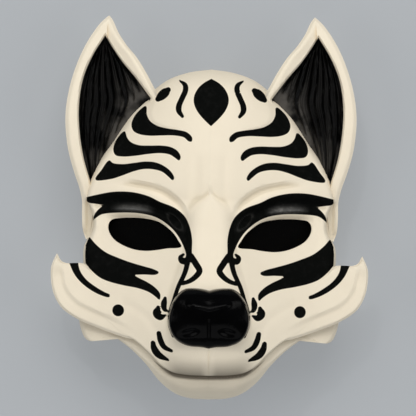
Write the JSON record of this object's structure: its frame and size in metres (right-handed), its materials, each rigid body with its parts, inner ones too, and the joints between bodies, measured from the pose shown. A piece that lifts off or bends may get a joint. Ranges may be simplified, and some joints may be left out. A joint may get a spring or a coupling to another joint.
{
  "type": "kitsune mask",
  "caption": "Full-face fox mask: a hollow casting with upright ears, hooked cheek tufts, a nose, cut eye openings with screens behind them, and an open back with a flat rim.",
  "frame": {"origin": "middle of the outline's bounding box, on the flat back rim that the mask lies on", "axes": "+Z out of the face, +Y towards the ears, +X to the right of someone who looks at the face"},
  "size_m": [0.2046, 0.2482, 0.1181],
  "materials": {
    "cream_resin": "cream satin paint on cast resin, with black painted stripes and marks",
    "gloss_black": "gloss black paint on the nose and inside the ears",
    "screen_mesh": "fine black mesh stuck behind the eye openings"
  },
  "bodies": {
    "root": {"mask_casting": "cream_resin", "eye_screen_right": "screen_mesh", "eye_screen_left": "screen_mesh"}
  },
  "joints": []
}
